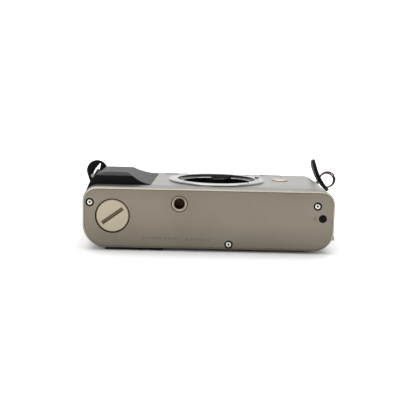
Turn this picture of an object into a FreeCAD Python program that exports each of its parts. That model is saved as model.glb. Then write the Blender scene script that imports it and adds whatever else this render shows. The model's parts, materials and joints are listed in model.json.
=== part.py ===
import FreeCAD, Part
import Sketcher
import math
import os
import re

# A 35 mm autofocus film camera body, lying on its back.
# +Z is the lens axis, +X runs to the rewind end, -Y is the bottom plate.
# The origin is on the surface that the back lies on, at mid width and mid height.

DIMENSIONS = {
    # outer shell
    "body_width": 133.0,
    "bottom_y": -38.5,
    "top_y": 33.5,
    "back_z": 1.4,
    "front_z": 33.75,
    "front_corner": 7.5,
    "hinge_corner": 12.5,
    "latch_corner": 10.5,
    "wall": 1.2,
    "gap": 0.15,
    "pan_y": -27.0,
    "cap_y": 13.5,
    "cap_back_y": 18.7,
    "door_z": 11.0,
    "door_x": -59.5,
    "edge_round": 1.3,
    "top_round": 2.2,
    # lens mount
    "mount_x": 4.6,
    "mount_y": -1.6,
    "mount_radius": 27.0,
    "mount_neck": 24.2,
    "throat_radius": 22.0,
    "mount_seat_z": 32.4,
    "mount_top_z": 34.9,
    "tube_radius": 22.3,
    "screw_circle": 24.6,
    # film path
    "film_z": 5.95,
    "gate_width": 36.0,
    "gate_height": 24.0,
    "lens_box": 26.7,
    "lens_box_z": 13.0,
    "blade_height": 12.5,
    "blade_width": 40.0,
    "blade_thick": 0.2,
    "cassette_x": 51.0,
    "cassette_z": 16.8,
    "cassette_radius": 13.0,
    "chamber_low_y": -27.2,
    "chamber_high_y": 20.6,
    "spool_x": -31.0,
    "spool_radius": 8.0,
    # bottom plate
    "battery_x": -50.7,
    "battery_z": 18.5,
    "battery_cap_radius": 8.75,
    "cell_radius": 7.8,
    "cell_length": 27.0,
    "tripod_x": -15.7,
    "tripod_z": 25.5,
    "tripod_radius": 2.6,
    "tripod_depth": 6.0,
    "rewind_x": 60.15,
    "rewind_z": 19.1,
    # hinge of the back door
    "hinge_x": -61.2,
    "hinge_z": 4.0,
    "hinge_pin_radius": 0.75,
    "hinge_barrel_radius": 1.35,
    # grip
    "grip_low_y": -26.8,
    "grip_high_y": 24.6,
    "grip_top_z": 39.85,
    "grip_lip_z": 34.15,
    "finger_x": -32.6,
    # controls of the top plate
    "release_x": -46.0,
    "release_z": 20.5,
    "speed_x": -21.5,
    "speed_z": 19.0,
    "focus_x": 53.0,
    "focus_z": 20.5,
    "shoe_z": 19.0,
    # strap fittings
    "lug_y": 26.5,
    "lug_reach": 10.3,
    "ring_radius": 4.6,
    "ring_wire": 0.85,
    "tab_width": 12.3,
    "tab_length": 21.5,
    "tab_thick": 1.8,
}

V = FreeCAD.Vector
doc = FreeCAD.newDocument("FilmCamera")
sheet = doc.addObject("Spreadsheet::Sheet", "Size")
for row, (alias, number) in enumerate(DIMENSIONS.items(), start=1):
    sheet.set("A%d" % row, alias)
    sheet.set("B%d" % row, str(number))
    sheet.setAlias("B%d" % row, alias)
doc.recompute()

TURN = {
    "X": FreeCAD.Rotation(V(0, 1, 0), 90),
    "Y": FreeCAD.Rotation(V(1, 0, 0), -90),
    "Z": FreeCAD.Rotation(),
}
PARTS = []


# ---------------------------------------------------------------- helpers

def formula(text):
    """Turn words that name a sheet cell into references to it."""
    def refer(word):
        return "Size." + word.group(0) if word.group(0) in DIMENSIONS else word.group(0)
    return re.sub(r"[a-z]\w*", refer, str(text))


def bind(item, **properties):
    for key, text in properties.items():
        item.setExpression(key, formula(text))
    return item


def place(item, x, y, z, rotation=None):
    if rotation is not None:
        item.Placement = FreeCAD.Placement(V(), rotation)
    for letter, text in zip("xyz", (x, y, z)):
        item.setExpression("Placement.Base." + letter, formula(text))
    return item


def box(x_low, x_high, y_low, y_high, z_low, z_high):
    block = bind(
        doc.addObject("Part::Box", "Block"),
        Length="(%s) - (%s)" % (x_high, x_low),
        Width="(%s) - (%s)" % (y_high, y_low),
        Height="(%s) - (%s)" % (z_high, z_low),
    )
    return place(block, x_low, y_low, z_low)


def rod(x, y, z, radius, length, turn="Y"):
    """A cylinder that starts at x, y, z and runs along the turned Z axis."""
    rotation = TURN[turn] if isinstance(turn, str) else turn
    item = bind(doc.addObject("Part::Cylinder", "Rod"), Radius=radius, Height=length)
    return place(item, x, y, z, rotation)


def fuse(*items):
    if len(items) == 1:
        return items[0]
    joined = doc.addObject("Part::MultiFuse", "Joined")
    joined.Shapes = list(items)
    joined.Refine = True
    return joined


def cut(base, *tools):
    result = doc.addObject("Part::Cut", "Cut")
    result.Base = base
    result.Tool = fuse(*tools)
    result.Refine = True
    return result


def common(base, tool):
    result = doc.addObject("Part::Common", "Common")
    result.Base = base
    result.Tool = tool
    return result


def sleeve(x, y, z, outer, inner, length, turn="Y"):
    return cut(rod(x, y, z, outer, length, turn), rod(x, y, z, inner, length, turn))


def part(name, item):
    """Name a finished sub-part: its label is its file's name."""
    item.Label = name
    PARTS.append(item)
    return item


def sketch_polygon(body, plane, points):
    """A closed polygon, each corner held at sheet-driven distances from the origin."""
    sketch = body.newObject("Sketcher::SketchObject", "Profile")
    origin = [item for item in body.Origin.OriginFeatures if item.Role == plane][0]
    sketch.AttachmentSupport = [(origin, "")]
    sketch.MapMode = "FlatFace"
    corners = [V(*(sheet.evalExpression(formula(text)) for text in point)) for point in points]
    count = len(corners)
    for index in range(count):
        sketch.addGeometry(Part.LineSegment(corners[index], corners[(index + 1) % count]), False)
    for index in range(count):
        link = Sketcher.Constraint("Coincident", index, 2, (index + 1) % count, 1)
        sketch.addConstraint(link)
    for index, (point, corner) in enumerate(zip(points, corners)):
        for kind, text, number, axis in zip(
            ("DistanceX", "DistanceY"), point, (corner.x, corner.y), (-2, -1)
        ):
            if abs(number) < 1e-9:
                sketch.addConstraint(Sketcher.Constraint("PointOnObject", index, 1, axis))
                continue
            row = sketch.addConstraint(Sketcher.Constraint(kind, -1, 1, index, 1, number))
            sketch.setExpression("Constraints[%d]" % row, formula(text))
    return sketch


def prism(points, y_low, y_high):
    """A polygon of x and z, carried along Y."""
    body = doc.addObject("PartDesign::Body", "Prism")
    pad = body.newObject("PartDesign::Pad", "Pad")
    pad.Profile = sketch_polygon(body, "XZ_Plane", points)
    pad.Reversed = True
    bind(pad, Length="(%s) - (%s)" % (y_high, y_low))
    return place(body, 0, y_low, 0)


def turned(profile, x, y, z, turn="Y"):
    """A profile of radius and height, turned about its own axis."""
    body = doc.addObject("PartDesign::Body", "Turned")
    turning = body.newObject("PartDesign::Revolution", "Turning")
    sketch = sketch_polygon(body, "XZ_Plane", profile)
    turning.Profile = sketch
    turning.ReferenceAxis = (sketch, ["V_Axis"])
    turning.Angle = 360
    return place(body, x, y, z, TURN[turn])


def round_edges(body, radius, chosen):
    """Fillet the body's edges that the test picks."""
    doc.recompute()
    base = body.Tip
    names = ["Edge%d" % (row + 1) for row, edge in enumerate(base.Shape.Edges) if chosen(edge)]
    fillet = body.newObject("PartDesign::Fillet", "Round")
    fillet.Base = (base, names)
    bind(fillet, Radius=radius)
    return body


def runs_along_y(edge):
    start, end = (vertex.Point for vertex in edge.Vertexes[:2])
    return abs(start.x - end.x) < 1e-6 and abs(start.z - end.z) < 1e-6


def shell_block(y_low, y_high, inset, top_radius=None, low_radius=None):
    """The camera's outline, pulled in by inset, between two heights of the body."""
    half = "body_width/2 - (%s)" % inset
    back = "back_z + (%s)" % inset
    front = "front_z - (%s)" % inset
    corners = (("-(%s)" % half, back), (half, back), (half, front), ("-(%s)" % half, front))
    body = prism(corners, y_low, y_high)
    for radius, chosen in (
        ("front_corner", lambda edge: edge.CenterOfMass.z > 20),
        ("hinge_corner", lambda edge: edge.CenterOfMass.z < 20 and edge.CenterOfMass.x < 0),
        ("latch_corner", lambda edge: edge.CenterOfMass.z < 20 and edge.CenterOfMass.x > 0),
    ):
        round_edges(
            body, "%s - (%s)" % (radius, inset),
            lambda edge: runs_along_y(edge) and abs(edge.CenterOfMass.x) > 60 and chosen(edge),
        )
    length = sheet.evalExpression(formula("(%s) - (%s)" % (y_high, y_low)))
    for radius, height in ((top_radius, length), (low_radius, 0.0)):
        if radius is not None:
            round_edges(
                body, radius,
                lambda edge: all(abs(vertex.Y - height) < 1e-6 for vertex in edge.Vertexes)
                and abs(edge.CenterOfMass.y - height) < 1e-6,
            )
    return body


def around(radius, degrees, x="mount_x", y="mount_y"):
    """A place on a circle, as two formulas."""
    return (
        "%s + (%s)*%.9f" % (x, radius, math.cos(math.radians(degrees))),
        "%s + (%s)*%.9f" % (y, radius, math.sin(math.radians(degrees))),
    )


# ---------------------------------------------------------------- outer shell

SCREW_PLACES = ((-62.6, 25.5), (57.2, 25.7), (10.7, 4.3))
SCREW_WELL = 2.25
DOOR_EDGE = "body_width/2 + 1"


def door_zone(y_low, y_high, grow=0):
    """The space that the back door takes out of the shell."""
    return box("door_x - %s" % grow, DOOR_EDGE, y_low, y_high, 0, "door_z + %s" % grow)


def mount_hole():
    """The opening round the mount's neck, and the holes for what passes beside it."""
    spots = [(degrees, 0.9) for degrees in MOUNT_SCREW_ANGLES]
    spots += [(LOCK_ANGLE, 1.4), (COUPLER_ANGLE, 1.7)]
    return fuse(
        rod("mount_x", "mount_y", "front_z - 4", "mount_neck + gap", 8, "Z"),
        *[rod(*around("screw_circle", degrees), "front_z - 4", radius, 8, "Z")
          for degrees, radius in spots],
    )


def bottom_cover():
    outer = shell_block("bottom_y", "pan_y", 0, low_radius="edge_round")
    inner = shell_block("bottom_y + wall + 0.2", "pan_y + 1", "wall")
    wells = [rod(x, "bottom_y - 1", z, SCREW_WELL, 4) for x, z in SCREW_PLACES]
    part("bottom_cover", cut(
        outer, inner, door_zone("bottom_y + wall + 0.2", "pan_y + 1"),
        rod("battery_x", "bottom_y - 1", "battery_z", "battery_cap_radius + 0.4", 4),
        rod("tripod_x", "bottom_y - 1", "tripod_z", 4.25, 4),
        rod("rewind_x", "bottom_y - 1", "rewind_z", 2.16, 4), *wells,
    ))


def front_cover():
    outer = shell_block("pan_y", "cap_y", 0)
    inner = shell_block("pan_y - 1", "cap_y + 1", "wall")
    shell = cut(
        outer, inner, door_zone("pan_y - 1", "cap_y + 1"), mount_hole(),
        rod(41.7, 5.3, "front_z - 4", 4.8, 8, "Z"),
        rod("hinge_x", -25, "hinge_z", "hinge_barrel_radius + 0.25", 35),
        box("hinge_x", "door_x", -25, 10, 0, "hinge_z + 0.6"),
    )
    knuckles = [rod("hinge_x", y, "hinge_z", "hinge_barrel_radius", 2) for y in (-27, 10)]
    part("front_cover", cut(
        fuse(shell, *knuckles), rod("hinge_x", -28, "hinge_z", "hinge_pin_radius", 42),
    ))


def top_cover():
    outer = shell_block("cap_y", "top_y", 0, top_radius="top_round")
    inner = shell_block("cap_y - 1", "top_y - wall", "wall")
    part("top_cover", cut(
        outer, inner, door_zone("cap_y - 1", "cap_back_y"), mount_hole(),
        # windows of the front and the back
        box(32, 44.5, 20.5, 30.5, "front_z - 3", "front_z + 1"),
        box(-25, -17, 20, 28, "front_z - 3", "front_z + 1"),
        box(17.5, 25.5, 24.8, 30.3, "front_z - 3", "front_z + 1"),
        box(32, 45.5, 22.6, 30.4, 0, 4),
        rod(51, 26.4, 0, 2.66, 4, "Z"),
        # controls of the top plate
        rod("release_x", "top_y - 4", "release_z", 2.06, 8),
        rod("speed_x", "top_y - 4", "speed_z", 2.06, 8),
        rod("focus_x", "top_y - 4", "focus_z", 2.06, 8),
        rod(22.5, "top_y - 4", 14, 1.86, 8),
        rod(28, "top_y - 4", 14, 1.86, 8),
        box(21, 30.5, "top_y - 3", "top_y + 1", 21, 29.5),
        rod("mount_x", "top_y - 4", "shoe_z", 2.2, 8),
        *[lug_rod(side, 0, 9, 1.5) for side in (-1, 1)],
    ))


def back_door():
    outer = shell_block("bottom_y + wall + 0.35", "cap_back_y - gap", 0)
    inner = shell_block("bottom_y", "top_y", "wall")
    tray = common(
        cut(outer, inner),
        box("door_x + gap", DOOR_EDGE, "bottom_y", "top_y", 0, "door_z - gap"),
    )
    # the hinge edge is bevelled inside, so that it clears the shell as the door swings
    bevel = prism((
        ("door_x - 1", 1.35), ("door_x + gap", 1.35), ("door_x + gap + 3", 4.3),
        ("door_x - 1", 4.3),
    ), "bottom_y", "top_y")
    barrel = rod("hinge_x", -24.8, "hinge_z", "hinge_barrel_radius", 34.6)
    leaf = box("hinge_x", "door_x + 2.5", -24.8, 9.8, "hinge_z - 1.1", "hinge_z - 0.1")
    web = box("door_x + gap", "door_x + 2.5", -24.8, 9.8, 1.9, "hinge_z - 0.5")
    part("back_door", cut(
        fuse(cut(tray, bevel), barrel, leaf, web),
        rod("hinge_x", -26, "hinge_z", "hinge_pin_radius + 0.05", 37),
        box(48.5, 52.5, -22, 6, 0, 3),
        box(61, 68, -36.5, -28.8, 6.9, 9.7),
    ))
    part("door_hinge_pin", rod("hinge_x", -27, "hinge_z", "hinge_pin_radius", 39))
    part("thumb_rest", round_edges(
        prism(((-54.5, 0), (-24, 0), (-24, "back_z"), (-54.5, "back_z")), -36.4, 17.5),
        0.6, lambda edge: edge.CenterOfMass.z < 0.01,
    ))
    part("door_leatherette", cut(
        box(-21, 54, -33, 15.5, "back_z - 0.6", "back_z"), box(48.5, 52.5, -22, 6, 0, 3),
    ))
    part("film_window", box(48.6, 52.4, -21.9, 5.9, "back_z - 0.5", "back_z + wall"))
    part("door_latch", fuse(
        box(62.8, 67, -36.3, -31.5, 7.2, 9.4), box(62, 63.2, -36.6, -31.2, 7, 9.6),
    ))
    part("light_seals", fuse(*[
        box(x, x + 1.5, -27, 12, "back_z + wall", "back_z + wall + 1.4") for x in (-54, 35.5)
    ]))


# ---------------------------------------------------------------- film path

def gate_opening(z_low, z_high, grow=0):
    return box(
        "mount_x - gate_width/2 - %s" % grow, "mount_x + gate_width/2 + %s" % grow,
        "mount_y - gate_height/2 - %s" % grow, "mount_y + gate_height/2 + %s" % grow,
        z_low, z_high,
    )


def square_ring(outer, inner, z_low, z_high):
    low, high = "%s - (%s)", "%s + (%s)"

    def block(half, bottom, top):
        return box(
            low % ("mount_x", half), high % ("mount_x", half),
            low % ("mount_y", half), high % ("mount_y", half), bottom, top,
        )
    return cut(block(outer, z_low, z_high), block(inner, z_low, z_high))


def chassis():
    near_y, far_y = "chamber_low_y", "chamber_high_y"
    chamber = cut(
        fuse(
            box("cassette_x - cassette_radius - wall", "cassette_x + cassette_radius + wall",
                near_y + " - wall", far_y + " + wall", "film_z", "cassette_z"),
            rod("cassette_x", near_y + " - wall", "cassette_z", "cassette_radius + wall",
                "chamber_high_y - chamber_low_y + 2*wall"),
        ),
        box("cassette_x - cassette_radius", "cassette_x + cassette_radius",
            near_y, far_y, 0, "cassette_z"),
        rod("cassette_x", near_y, "cassette_z", "cassette_radius",
            "chamber_high_y - chamber_low_y"),
        rod("cassette_x", near_y + " - 3", "cassette_z", 3.0, 6),
        box("cassette_x - 20", "cassette_x + 20", near_y + " - 3", far_y + " + 3", 0, "film_z"),
        box("cassette_x + 11", "cassette_x + 20", near_y + " - 3", far_y + " + 3", 0, 11.2),
    )
    gate = box(-22, "cassette_x - cassette_radius", near_y, far_y, "film_z", "film_z + 2.05")
    rails = [
        box(-41.3, "cassette_x - cassette_radius", low, low + " + wall", "lens_box_z + 0.2", 28)
        for low in ("chamber_low_y - wall", "chamber_high_y")
    ]
    wings = [
        box(-65, -40.3, low, low + " + wall", 6, 31)
        for low in ("chamber_low_y - wall", "chamber_high_y")
    ]
    end_wall = box(-41.3, -40.3, near_y + " - wall", far_y + " + wall", "film_z", 28)
    posts = [rod(x, "bottom_y + wall + 0.2", z, 2.2, 10) for x, z in SCREW_PLACES[:2]]
    tab = box(7, 14.4, "bottom_y + wall + 0.2", near_y + " + 1", 2.9, "film_z + 2.05")
    tube = rod("mount_x", "mount_y", "lens_box_z", "tube_radius + 2.7", "mount_seat_z - lens_box_z",
               "Z")
    flange = rod("mount_x", "mount_y", "mount_seat_z - 2.4", "mount_radius", 2.4, "Z")
    roof = square_ring("lens_box", 10, "lens_box_z", "lens_box_z + 1.2")
    walls = square_ring("lens_box", "lens_box - 1.5", "film_z + 1", "lens_box_z")
    holes = [rod(x, "bottom_y", z, 0.8, 8) for x, z in SCREW_PLACES]
    holes += [
        rod(*around("screw_circle", degrees), "mount_seat_z - 4", 0.7, 5, "Z")
        for degrees in MOUNT_SCREW_ANGLES
    ]
    holes += [
        rod(*around("screw_circle", LOCK_ANGLE), "mount_seat_z - 8", 1.28, 9, "Z"),
        rod(*around("screw_circle", COUPLER_ANGLE), "mount_seat_z - 8", 1.58, 9, "Z"),
    ]
    solid = cut(
        fuse(chamber, gate, end_wall, tab, tube, flange, roof, walls, *rails, *wings, *posts),
        rod("mount_x", "mount_y", "lens_box_z", "tube_radius", 25, "Z"),
        gate_opening(0, 9), rod("battery_x", -40, "battery_z", 8.95, 20),
        box("mount_x - 20", "mount_x + 20", "mount_y - 20", "mount_y + 20", "film_z + 2.05", 14),
        *holes,
    )
    part("chassis", common(solid, shell_block("bottom_y", "top_y", "wall + gap")))


def film_parts():
    part("pressure_plate", box("mount_x - 26", "mount_x + 26", "mount_y - 16.5", "mount_y + 16.5",
                               "film_z - 1.2", "film_z - 0.2"))
    springs = [
        fuse(box(x, x + 14, -4, 0.8, "back_z + wall", "back_z + wall + 0.3"),
             box(x + 5, x + 9, -4, 0.8, "back_z + wall + 0.3", "film_z - 1.2"))
        for x in (-15, 10)
    ]
    part("pressure_plate_springs", fuse(*springs))
    part("takeup_spool", sleeve("spool_x", -24.5, "cassette_z", "spool_radius", 6.2, 37.5))
    part("film_motor", rod("spool_x", "chamber_low_y", "cassette_z", 5.8, 38))
    fork = fuse(
        rod("cassette_x", -31.5, "cassette_z", 2.92, 6.5),
        box("cassette_x - 2.4", "cassette_x + 2.4", -25, -21.5, "cassette_z - 0.6",
            "cassette_z + 0.6"),
    )
    part("rewind_fork", fork)


def shutter():
    low_z = "film_z + 2.1"
    half = "lens_box - 1.6"
    cavity = box("mount_x - 21", "mount_x + 21", "mount_y - 24.9", "mount_y + 24.9",
                 low_z + " + 0.5", low_z + " + 4.2")
    frame = box("mount_x - (%s)" % half, "mount_x + (%s)" % half, "mount_y - (%s)" % half,
                "mount_y + (%s)" % half, low_z, low_z + " + 4.7")
    part("shutter_frame", cut(frame, cavity, gate_opening(0, 14, grow=0.1)))
    closed = ("mount_y - 0.4", "mount_y - 12.1")
    parked = "mount_y + 12.2"
    layers = (
        ("first_blade_1", closed[0], 0.8), ("first_blade_2", closed[1], 1.4),
        ("second_blade_1", parked, 3.6), ("second_blade_2", parked, 3.0),
    )
    for name, low, layer in layers:
        z = "%s + %s" % (low_z, layer)
        part(name, box("mount_x - blade_width/2", "mount_x + blade_width/2",
                       low, "%s + blade_height" % low, z, z + " + blade_thick"))
    part("light_baffle", cut(
        rod("mount_x", "mount_y", 20, "tube_radius - 0.05", 1.2, "Z"), gate_opening(19, 23, -1),
    ))


# ---------------------------------------------------------------- lens mount

MOUNT_SCREW_ANGLES = (45, 135, 225, 332)
LOCK_ANGLE = 16.5
COUPLER_ANGLE = 313


def lens_mount():
    depth = "mount_top_z - mount_seat_z"
    lip = "front_z - mount_seat_z + 0.05"
    ring = turned((
        ("throat_radius", 0), ("mount_neck", 0), ("mount_neck", lip), ("mount_radius", lip),
        ("mount_radius", depth + " - 0.4"), ("mount_radius - 0.4", depth), ("throat_radius", depth),
    ), "mount_x", "mount_y", "mount_seat_z", "Z")
    wells = [
        rod(*around("screw_circle", degrees), "mount_top_z - 0.8", 1.25, 2, "Z")
        for degrees in MOUNT_SCREW_ANGLES
    ]
    shanks = [
        rod(*around("screw_circle", degrees), "mount_seat_z - 1", 0.7, 4, "Z")
        for degrees in MOUNT_SCREW_ANGLES
    ]
    part("mount_ring", cut(
        ring, *wells, *shanks,
        rod(*around("screw_circle", LOCK_ANGLE), "mount_seat_z - 1", 1.28, 5, "Z"),
        rod(*around("screw_circle", COUPLER_ANGLE), "mount_seat_z - 1", 1.58, 5, "Z"),
    ))
    screws = []
    for degrees in MOUNT_SCREW_ANGLES:
        spot = around("screw_circle", degrees)
        screws.append(fuse(
            rod(*spot, "mount_top_z - 0.8", 1.2, 0.7, "Z"),
            rod(*spot, "mount_seat_z - 4", 0.7, "mount_top_z - mount_seat_z + 3.2", "Z"),
        ))
    part("mount_screws", fuse(*screws))
    tongues = []
    for degrees in (200, 320, 10):
        sector = place(
            bind(doc.addObject("Part::Cylinder", "Sector"), Radius="tube_radius - 0.05", Height=1.9),
            "mount_x", "mount_y", "mount_seat_z - 2.1", FreeCAD.Rotation(V(0, 0, 1), degrees),
        )
        sector.Angle = 40
        tongues.append(cut(sector, rod("mount_x", "mount_y", "mount_seat_z - 3", 20.4, 4, "Z")))
    part("bayonet_springs", fuse(*tongues))
    part("contact_block", box("mount_x - 5.4", "mount_x + 5.4", "mount_y + 18.2", "mount_y + 21.5",
                              "mount_seat_z - 3", "mount_seat_z - 0.2"))
    part("lens_release_button", turned((
        (0, 0.4), (2.6, 0.4), (2.6, 2.2), (4.65, 2.2), (4.65, 3.9), (4.3, 4.2), (0, 4.2),
    ), 41.7, 5.3, 30.2, "Z"))
    pin = around("screw_circle", LOCK_ANGLE)
    part("lock_pin", rod(*pin, "mount_seat_z - 5", 1.2, "mount_top_z - mount_seat_z + 5.7", "Z"))
    coupler = around("screw_circle", COUPLER_ANGLE)
    part("af_drive_coupler", cut(
        rod(*coupler, "mount_seat_z - 6", 1.5, "mount_top_z - mount_seat_z + 6", "Z"),
        box(coupler[0] + " - 0.3", coupler[0] + " + 0.3", coupler[1] + " - 2",
            coupler[1] + " + 2", "mount_top_z - 0.6", "mount_top_z + 1"),
    ))
    part("af_motor", rod(20, -32.6, 14, 3.8, 14, "Z"))


# ---------------------------------------------------------------- bottom plate and power

COIN_SLOT_ANGLE = 36


def bottom_fittings():
    turn = FreeCAD.Rotation(V(0, 1, 0), -COIN_SLOT_ANGLE)
    corner = turn.multVec(V(-6.75, 0, -1))
    slot = bind(doc.addObject("Part::Box", "Slot"), Length=13.5, Width=2, Height=2)
    place(slot, "battery_x + %.6f" % corner.x, "bottom_y - 1.1",
          "battery_z + %.6f" % corner.z, turn)
    cap = turned((
        (0, 0), ("battery_cap_radius - 0.5", 0), ("battery_cap_radius", 0.5),
        ("battery_cap_radius", 1.7), (7.6, 1.7), (7.6, 2.9), (0, 2.9),
    ), "battery_x", "bottom_y + 0.1", "battery_z")
    part("battery_cap", cut(cap, slot))
    part("battery_tube", cut(
        rod("battery_x", -36.6, "battery_z", 8.9, 57), rod("battery_x", -37, "battery_z", 8, 56.4),
    ))
    part("battery_cells", fuse(*[
        rod("battery_x", "bottom_y + 3.4 + %d*(cell_length + 0.05)" % index, "battery_z",
            "cell_radius", "cell_length") for index in range(2)
    ]))
    part("battery_contact", rod("battery_x", 19.05, "battery_z", 6, 0.3))
    part("tripod_bush", turned((
        ("tripod_radius + 0.7", 0), (4.25, 0), (4.25, 1.4), (4.9, 1.4), (4.9, "tripod_depth + 1"),
        (0, "tripod_depth + 1"), (0, "tripod_depth"), ("tripod_radius", "tripod_depth"),
        ("tripod_radius", 0.7),
    ), "tripod_x", "bottom_y", "tripod_z"))
    screws = [
        turned((
            (0, 0.6), (0.65, 0.6), (0.65, 0.05), (1.5, 0.05), (1.6, 0.35), (2.2, 0.35), (2.2, 1.4),
            (0.8, 1.4), (0.8, 7.4), (0, 7.4),
        ), x, "bottom_y", z) for x, z in SCREW_PLACES
    ]
    part("cover_screws", fuse(*screws))
    part("rewind_button", turned((
        (0, 0), (1.7, 0), (2.1, 0.4), (2.1, 2.2), (3, 2.2), (3, 3.0), (0, 3.0),
    ), "rewind_x", "bottom_y + 0.1", "rewind_z"))
    part("circuit_board", box(-39, 12, -31, -30, 8.6, 30))


# ---------------------------------------------------------------- grip

def grip():
    profile = (
        (-66.7, 28.4), (-65, 32.3), (-63.6, 35.9), (-61.3, 38.1), (-58.6, 39.5),
        (-55.5, "grip_top_z"), (-29, "grip_top_z"), (-29, 31), (-60, 27),
    )
    block = prism(profile, "grip_low_y", "grip_high_y")
    # the near end slopes up over 5 mm, the far end down over 20 mm
    near = place(
        bind(doc.addObject("Part::Box", "NearSlope"), Length=60, Width=12, Height=6),
        -80, "grip_low_y - 1", "grip_top_z - 1.75",
        FreeCAD.Rotation(V(1, 0, 0), math.degrees(math.atan2(1.45, 4.9))),
    )
    far = place(
        bind(doc.addObject("Part::Box", "FarSlope"), Length=60, Width=30, Height=6),
        -80, "grip_high_y - 20", "grip_top_z",
        FreeCAD.Rotation(V(1, 0, 0), -math.degrees(math.atan2(2.4, 20))),
    )
    # the edge beside the mount slants, the grip being wider towards the top plate
    edge = place(
        bind(doc.addObject("Part::Box", "SlantedEdge"), Length=12, Width=70, Height=30),
        -31.5, "grip_low_y", 20, FreeCAD.Rotation(V(0, 0, 1), -2.6),
    )
    part("grip", cut(
        block, near, far, edge, rod("finger_x", "grip_low_y - 1", "grip_lip_z + 14", 14, 60),
        box("finger_x", -25, "grip_low_y - 1", "grip_high_y + 1", "grip_lip_z", 45),
        shell_block("bottom_y", "top_y", 0),
    ))


# ---------------------------------------------------------------- top plate

def top_controls():
    part("shutter_button", turned((
        (0, 0), (3.4, 0), (3.4, 1.0), (2.0, 1.0), (2.0, 7.2), (4.5, 7.2), (4.5, 9.3), (4.0, 9.8),
        (3.2, 9.6), (0, 9.4),
    ), "release_x", "top_y - 5.6", "release_z"))
    switch = turned(((4.8, 0), (8, 0), (8, 2.4), (7.4, 3), (4.8, 3)),
                    "release_x", "top_y + 0.1", "release_z")
    lever = box("release_x - 1.4", "release_x + 1.4", "top_y + 0.1", "top_y + 2.3",
                "release_z + 7", "release_z + 10.6")
    part("main_switch", fuse(switch, lever))
    part("compensation_ring", fuse(
        sleeve("speed_x", "top_y + 0.1", "speed_z", 10.4, 2.3, 1),
        box("speed_x - 1.5", "speed_x + 1.5", "top_y + 0.1", "top_y + 1.1", "speed_z - 12",
            "speed_z - 9"),
    ))
    part("shutter_speed_dial", turned((
        (0, 0), (2, 0), (2, 5.4), (8.6, 5.4), (8.6, 8.5), (8.1, 9), (0, 9),
    ), "speed_x", "top_y - 4.1", "speed_z"))
    part("focus_dial", turned((
        (0, 0), (2, 0), (2, 4.2), (7.5, 4.2), (7.5, 7.1), (7, 7.6), (0, 7.6),
    ), "focus_x", "top_y - 4.1", "focus_z"))
    shoe = cut(
        box("mount_x - 11", "mount_x + 11", "top_y", "top_y + 4.2", "shoe_z - 10", "shoe_z + 10"),
        box("mount_x - 9.35", "mount_x + 9.35", "top_y + 0.9", "top_y + 3.1", 0, "shoe_z + 8.6"),
        box("mount_x - 6.3", "mount_x + 6.3", "top_y + 1", "top_y + 6", 0, "shoe_z + 12"),
        rod("mount_x", "top_y - 1", "shoe_z", 2.2, 4),
    )
    stop = box("mount_x - 6.3", "mount_x + 6.3", "top_y + 0.9", "top_y + 3.1", "shoe_z + 8.6",
               "shoe_z + 10")
    part("hot_shoe", fuse(shoe, stop))
    part("shoe_contact", rod("mount_x", "top_y - 2", "shoe_z", 2.2, 3.0))
    part("frame_counter", box(21, 30.5, "top_y - 1", "top_y + 0.3", 21, 29.5))
    for index, x in enumerate((22.5, 28), start=1):
        part("mode_button_%d" % index, turned((
            (0, 0), (2.6, 0), (2.6, 0.5), (1.8, 0.5), (1.8, 2.8), (1.5, 3.1), (0, 3.1),
        ), x, "top_y - 2.4", 14))


def finder():
    part("viewfinder_window", box(32, 44.5, 20.5, 30.5, "front_z - 1.6", "front_z - 0.2"))
    part("viewfinder_block", box(32, 44.5, 23, 31.4, 3.4, "front_z - 1.8"))
    part("eyepiece", cut(
        fuse(box(30.5, 47, 21.2, 31.8, 0, "back_z"), box(32, 45.5, 22.6, 30.4, "back_z", 3.2)),
        box(33.5, 44, 23.6, 29.6, -1, 2.0),
    ))
    part("diopter_dial", rod(51, 26.4, "back_z - 0.9", 2.6, 3.4, "Z"))
    part("af_windows", fuse(
        box(-25, -17, 20, 28, "front_z - 1.2", "front_z - 0.2"),
        box(17.5, 25.5, 24.8, 30.3, "front_z - 1.2", "front_z - 0.2"),
    ))


# ---------------------------------------------------------------- strap fittings

LUG_ANGLE = 28.0
RING_TILT = 16.0


def lug_frame(side):
    """The lug's own axis, and the direction across it, on one end of the body."""
    cosine, sine = math.cos(math.radians(LUG_ANGLE)), math.sin(math.radians(LUG_ANGLE))
    return V(side * cosine, 0, sine), V(-side * sine, 0, cosine)


def lug_place(side, along, across=0.0):
    """Formulas of a place measured from the centre of the front corner."""
    axis, cross = lug_frame(side)
    corner_x = "%d*(body_width/2 - front_corner)" % side
    corner_z = "front_z - front_corner"
    return (
        "%s + (%s)*%.9f + (%s)*%.9f" % (corner_x, along, axis.x, across, cross.x),
        "lug_y",
        "%s + (%s)*%.9f + (%s)*%.9f" % (corner_z, along, axis.z, across, cross.z),
    )


def lug_rod(side, start, length, radius):
    axis, cross = lug_frame(side)
    return rod(*lug_place(side, start), radius, length, FreeCAD.Rotation(V(0, 0, 1), axis))


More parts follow.
